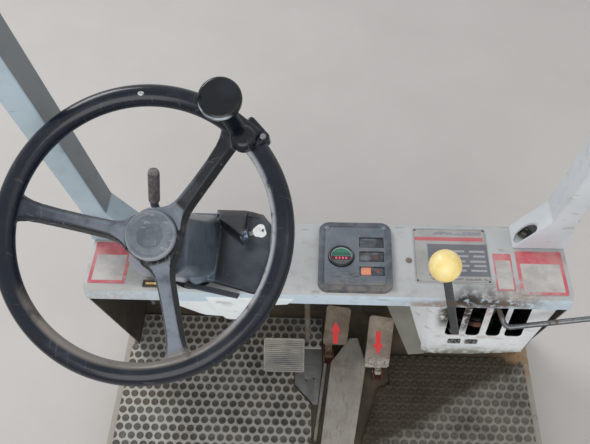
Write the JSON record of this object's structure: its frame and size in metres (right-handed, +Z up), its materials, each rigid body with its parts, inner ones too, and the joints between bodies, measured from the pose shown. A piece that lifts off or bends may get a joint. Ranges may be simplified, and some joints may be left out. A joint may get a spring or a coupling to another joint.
{
  "type": "forklift driver's station",
  "caption": "Open driver's station of a lift truck: floor pan with studded mats, cowl, steering wheel with spinner knob, slotted lever box, pedals and front guard legs.",
  "frame": {"origin": "centre of the four-hole bolt pattern in the floor pan's bottom flanges, at the flanges' underside", "axes": "+X to the driver's right, +Y forward, away from the seat, +Z up"},
  "size_m": [1.0082, 0.74, 1.7],
  "materials": {
    "floor_steel": "worn paint with rust and dust",
    "mat_rubber": "studded, dusty between the studs",
    "control_paint": "satin beige, worn at the edges",
    "bright_steel": "bare",
    "well_paint": "dark, dusty",
    "cowl_paint": "warm grey-white, satin, soiled",
    "bare_steel": "dull, lightly rusted",
    "cast_unit": "rough",
    "black_plastic": "dusty matt",
    "key_plastic": "matt white",
    "wheel_black": "satin, polished by hands",
    "worn_plastic": "worn grey-black",
    "clamp_steel": "black, chipped",
    "gloss_black": "glossy",
    "box_white": "satin white with rust round the slots",
    "yellow_plastic": "warm yellow, rubbed",
    "gauge_plastic": "black dial",
    "plate_metal": "thin printed plate, blank",
    "catch_brass": "worn",
    "pad_rubber": "ribbed, dusty",
    "guard_paint_left": "pale blue-grey, satin",
    "guard_paint_right": "cream, satin",
    "lamp_lens": "dark window"
  },
  "bodies": {
    "station": {"floor_pan": "floor_steel", "mat_left": "mat_rubber", "mat_right": "mat_rubber", "inset_plate": "floor_steel", "heel_ramp": "control_paint", "edge_rod": "bright_steel", "side_wall_left": "well_paint", "side_wall_right": "well_paint", "front_wall": "well_paint", "cowl": "cowl_paint", "column_jacket": "bare_steel", "column_bracket": "bare_steel", "steering_unit": "cast_unit", "column_cover": "black_plastic", "key_lock": "bare_steel", "ignition_key": "key_plastic", "lever_mount": "bare_steel", "lever_box": "box_white", "lever_bracket": "bare_steel", "lever_stub": "bare_steel", "knee_shroud": "box_white", "instrument_bezel": "worn_plastic", "hour_gauge": "gauge_plastic", "data_plate": "plate_metal", "panel_catch": "catch_brass", "brake_bracket": "bare_steel", "guard_leg_left": "guard_paint_left", "guard_leg_right": "guard_paint_right", "lamp_far": "lamp_lens", "lamp_mid": "lamp_lens", "lamp_near": "lamp_lens", "forward_hinge": "bare_steel", "reverse_hinge": "bare_steel"},
    "steer": {"steering_wheel": "wheel_black", "steering_shaft": "bare_steel", "hub_cap": "worn_plastic", "spinner_clamp": "clamp_steel"},
    "knob": {"spinner_knob": "gloss_black"},
    "column_arm": {"column_lever": "wheel_black"},
    "brake": {"brake_arm": "bare_steel", "brake_pad": "pad_rubber"},
    "forward": {"forward_pedal": "control_paint"},
    "reverse": {"reverse_pedal": "control_paint"},
    "lift": {"lift_lever": "control_paint", "lift_ball": "yellow_plastic"},
    "auxiliary": {"bent_lever": "bare_steel", "bent_knob": "gloss_black"}
  },
  "joints": [
    {"name": "steering_turn", "type": "hinge", "parent": "station", "child": "steer", "pos_m": [-0.222, -0.018, 0.955], "axis": [0, -0.5, 0.866], "continuous": true},
    {"name": "spinner_turn", "type": "hinge", "parent": "steer", "child": "knob", "pos_m": [-0.12288, 0.1069, 1.02711], "axis": [0, -0.5, 0.866], "continuous": true},
    {"name": "column_lever_swing", "type": "hinge", "parent": "station", "child": "column_arm", "pos_m": [-0.262, 0.172, 0.725], "axis": [1, 0, 0], "range_deg": [-8, 8]},
    {"name": "brake_press", "type": "hinge", "parent": "station", "child": "brake", "pos_m": [-0.038, 0.246, 0.508], "axis": [1, 0, 0], "range_deg": [0, 12], "stiffness_Nm_per_rad": 25, "springref_deg": -8.59},
    {"name": "forward_press", "type": "hinge", "parent": "station", "child": "forward", "pos_m": [0.009, 0.285, 0.118], "axis": [-1, 0, 0], "range_deg": [0, 10], "stiffness_Nm_per_rad": 10, "springref_deg": -8.59},
    {"name": "reverse_press", "type": "hinge", "parent": "station", "child": "reverse", "pos_m": [0.122, 0.246, 0.118], "axis": [-1, 0, 0], "range_deg": [0, 10], "stiffness_Nm_per_rad": 10, "springref_deg": -8.59},
    {"name": "lift_swing", "type": "hinge", "parent": "station", "child": "lift", "pos_m": [0.224, 0.172, 0.466], "axis": [1, 0, 0], "range_deg": [-5, 5], "stiffness_Nm_per_rad": 80},
    {"name": "auxiliary_swing", "type": "hinge", "parent": "station", "child": "auxiliary", "pos_m": [0.295, 0.172, 0.466], "axis": [1, 0, 0], "range_deg": [-5, 5], "stiffness_Nm_per_rad": 80}
  ]
}
